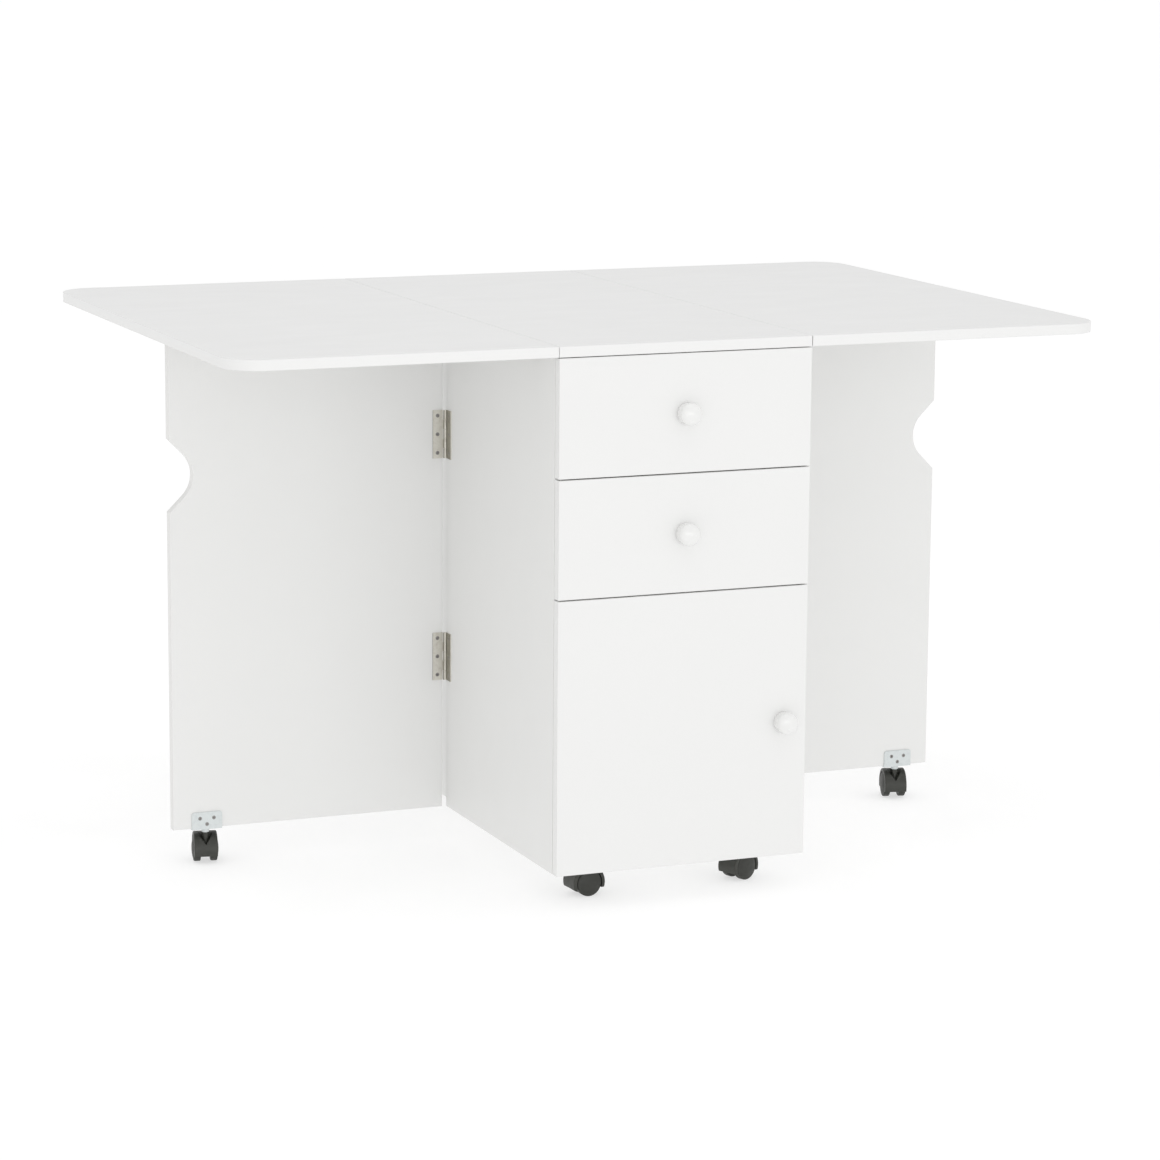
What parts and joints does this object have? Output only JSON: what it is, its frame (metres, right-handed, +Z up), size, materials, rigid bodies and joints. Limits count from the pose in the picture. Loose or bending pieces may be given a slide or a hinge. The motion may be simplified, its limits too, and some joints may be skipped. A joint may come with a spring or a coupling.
{
  "type": "sewing table",
  "caption": "White melamine sewing table on casters: drawers and a door cabinet under a long top with two side leaves held up by swing gates.",
  "frame": {"origin": "on the floor, under the middle of the table's outer box, knobs included", "axes": "+X to the right along the top's length, +Y from the drawer fronts to the back, +Z up"},
  "size_m": [1.375, 0.967, 0.836],
  "materials": {
    "top_melamine": "satin white melamine",
    "carcass_melamine": "satin white melamine",
    "front_melamine": "satin white melamine",
    "gate_melamine": "satin white melamine",
    "drawer_board": "matte white foil",
    "drawer_sheet": "matte white hardboard",
    "knob_gloss": "gloss white",
    "white_plastic": "matte white",
    "hinge_steel": "aged nickel plate",
    "nickel_steel": "nickel plate",
    "zinc_steel": "pale zinc plate",
    "screw_steel": "zinc plate",
    "caster_housing_black": "satin black nylon",
    "wheel_black": "matte black nylon"
  },
  "bodies": {
    "cabinet": {"centre_top": "top_melamine", "front_side_left": "carcass_melamine", "front_side_right": "carcass_melamine", "rear_side_left": "carcass_melamine", "rear_side_right": "carcass_melamine", "middle_panel": "carcass_melamine", "front_bottom": "carcass_melamine", "rear_bottom": "carcass_melamine", "drawer_divider": "carcass_melamine", "adjustable_shelf": "carcass_melamine", "rear_shelf": "carcass_melamine", "shelf_pins": "nickel_steel", "drawer_rails": "white_plastic", "door_hinge_arms": "nickel_steel", "gate_hinge_fixed_leaves": "hinge_steel", "top_hinge_fixed_leaves": "hinge_steel", "hinge_pins": "hinge_steel", "cabinet_screws": "screw_steel", "caster_plates": "zinc_steel"},
    "upper_drawer": {"upper_drawer_front": "front_melamine", "upper_drawer_sides": "drawer_board", "upper_drawer_back": "drawer_board", "upper_drawer_bottom": "drawer_sheet", "upper_drawer_knob": "knob_gloss"},
    "lower_drawer": {"lower_drawer_front": "front_melamine", "lower_drawer_sides": "drawer_board", "lower_drawer_back": "drawer_board", "lower_drawer_bottom": "drawer_sheet", "lower_drawer_knob": "knob_gloss"},
    "door": {"door_panel": "front_melamine", "door_knob": "knob_gloss", "door_hinge_cups": "nickel_steel"},
    "left_gate": {"left_gate_panel": "gate_melamine", "left_gate_hinge_leaves": "hinge_steel", "left_gate_caster_bracket": "zinc_steel", "left_gate_screws": "screw_steel"},
    "right_gate": {"right_gate_panel": "gate_melamine", "right_gate_hinge_leaves": "hinge_steel", "right_gate_caster_bracket": "zinc_steel", "right_gate_screws": "screw_steel"},
    "left_leaf": {"left_leaf": "top_melamine", "left_leaf_hinge_leaves": "hinge_steel", "left_leaf_rest_pads": "white_plastic", "left_leaf_screws": "screw_steel"},
    "right_leaf": {"right_leaf": "top_melamine", "right_leaf_hinge_leaves": "hinge_steel", "right_leaf_rest_pads": "white_plastic", "right_leaf_screws": "screw_steel"},
    "front_left_caster": {"front_left_caster_housing": "caster_housing_black"},
    "front_left_wheels": {"front_left_caster_wheels": "wheel_black"},
    "front_right_caster": {"front_right_caster_housing": "caster_housing_black"},
    "front_right_wheels": {"front_right_caster_wheels": "wheel_black"},
    "rear_left_caster": {"rear_left_caster_housing": "caster_housing_black"},
    "rear_left_wheels": {"rear_left_caster_wheels": "wheel_black"},
    "rear_right_caster": {"rear_right_caster_housing": "caster_housing_black"},
    "rear_right_wheels": {"rear_right_caster_wheels": "wheel_black"},
    "left_gate_caster": {"left_gate_caster_housing": "caster_housing_black"},
    "left_gate_wheels": {"left_gate_caster_wheels": "wheel_black"},
    "right_gate_caster": {"right_gate_caster_housing": "caster_housing_black"},
    "right_gate_wheels": {"right_gate_caster_wheels": "wheel_black"}
  },
  "joints": [
    {"name": "upper_drawer_slide", "type": "slide", "parent": "cabinet", "child": "upper_drawer", "axis": [0, -1, 0], "range_m": [0, 0.3]},
    {"name": "lower_drawer_slide", "type": "slide", "parent": "cabinet", "child": "lower_drawer", "axis": [0, -1, 0], "range_m": [0, 0.3]},
    {"name": "door_hinge", "type": "hinge", "parent": "cabinet", "child": "door", "pos_m": [-0.1995, -0.4585, 0.2606], "axis": [0, 0, -1], "range_deg": [0, 105]},
    {"name": "left_gate_hinge", "type": "hinge", "parent": "cabinet", "child": "left_gate", "pos_m": [-0.203, -0.0005, 0.434], "axis": [0, 0, -1], "range_deg": [0, 90]},
    {"name": "right_gate_hinge", "type": "hinge", "parent": "cabinet", "child": "right_gate", "pos_m": [0.203, -0.0005, 0.434], "axis": [0, 0, 1], "range_deg": [0, 90]},
    {"name": "left_leaf_hinge", "type": "hinge", "parent": "cabinet", "child": "left_leaf", "pos_m": [-0.2, 0, 0.817], "axis": [0, 1, 0], "range_deg": [0, 3]},
    {"name": "right_leaf_hinge", "type": "hinge", "parent": "cabinet", "child": "right_leaf", "pos_m": [0.2, 0, 0.817], "axis": [0, -1, 0], "range_deg": [0, 3]},
    {"name": "front_left_caster_swivel", "type": "hinge", "parent": "cabinet", "child": "front_left_caster", "pos_m": [-0.1275, -0.3675, 0.0472], "axis": [0, 0, 1], "continuous": true},
    {"name": "front_left_wheel_spin", "type": "hinge", "parent": "front_left_caster", "child": "front_left_wheels", "pos_m": [-0.11756, -0.36645, 0.02], "axis": [0.1045, -0.9945, 0], "continuous": true},
    {"name": "front_right_caster_swivel", "type": "hinge", "parent": "cabinet", "child": "front_right_caster", "pos_m": [0.1275, -0.3675, 0.0472], "axis": [0, 0, 1], "continuous": true},
    {"name": "front_right_wheel_spin", "type": "hinge", "parent": "front_right_caster", "child": "front_right_wheels", "pos_m": [0.1367, -0.36359, 0.02], "axis": [0.3907, -0.9205, 0], "continuous": true},
    {"name": "rear_left_caster_swivel", "type": "hinge", "parent": "cabinet", "child": "rear_left_caster", "pos_m": [-0.095, 0.4015, 0.0472], "axis": [0, 0, 1], "continuous": true},
    {"name": "rear_left_wheel_spin", "type": "hinge", "parent": "rear_left_caster", "child": "rear_left_wheels", "pos_m": [-0.10143, 0.39384, 0.02], "axis": [-0.766, 0.6428, 0], "continuous": true},
    {"name": "rear_right_caster_swivel", "type": "hinge", "parent": "cabinet", "child": "rear_right_caster", "pos_m": [0.095, 0.4015, 0.0472], "axis": [0, 0, 1], "continuous": true},
    {"name": "rear_right_wheel_spin", "type": "hinge", "parent": "rear_right_caster", "child": "rear_right_wheels", "pos_m": [0.09158, 0.4109, 0.02], "axis": [0.9397, 0.342, 0], "continuous": true},
    {"name": "left_gate_caster_swivel", "type": "hinge", "parent": "left_gate", "child": "left_gate_caster", "pos_m": [-0.5905, 0.0105, 0.0472], "axis": [0, 0, 1], "continuous": true},
    {"name": "left_gate_wheel_spin", "type": "hinge", "parent": "left_gate_caster", "child": "left_gate_wheels", "pos_m": [-0.58842, 0.02028, 0.02], "axis": [0.9781, -0.2079, 0], "continuous": true},
    {"name": "right_gate_caster_swivel", "type": "hinge", "parent": "right_gate", "child": "right_gate_caster", "pos_m": [0.5905, 0.0105, 0.0472], "axis": [0, 0, 1], "continuous": true},
    {"name": "right_gate_wheel_spin", "type": "hinge", "parent": "right_gate_caster", "child": "right_gate_wheels", "pos_m": [0.59309, 0.02016, 0.02], "axis": [0.9659, -0.2588, 0], "continuous": true}
  ]
}
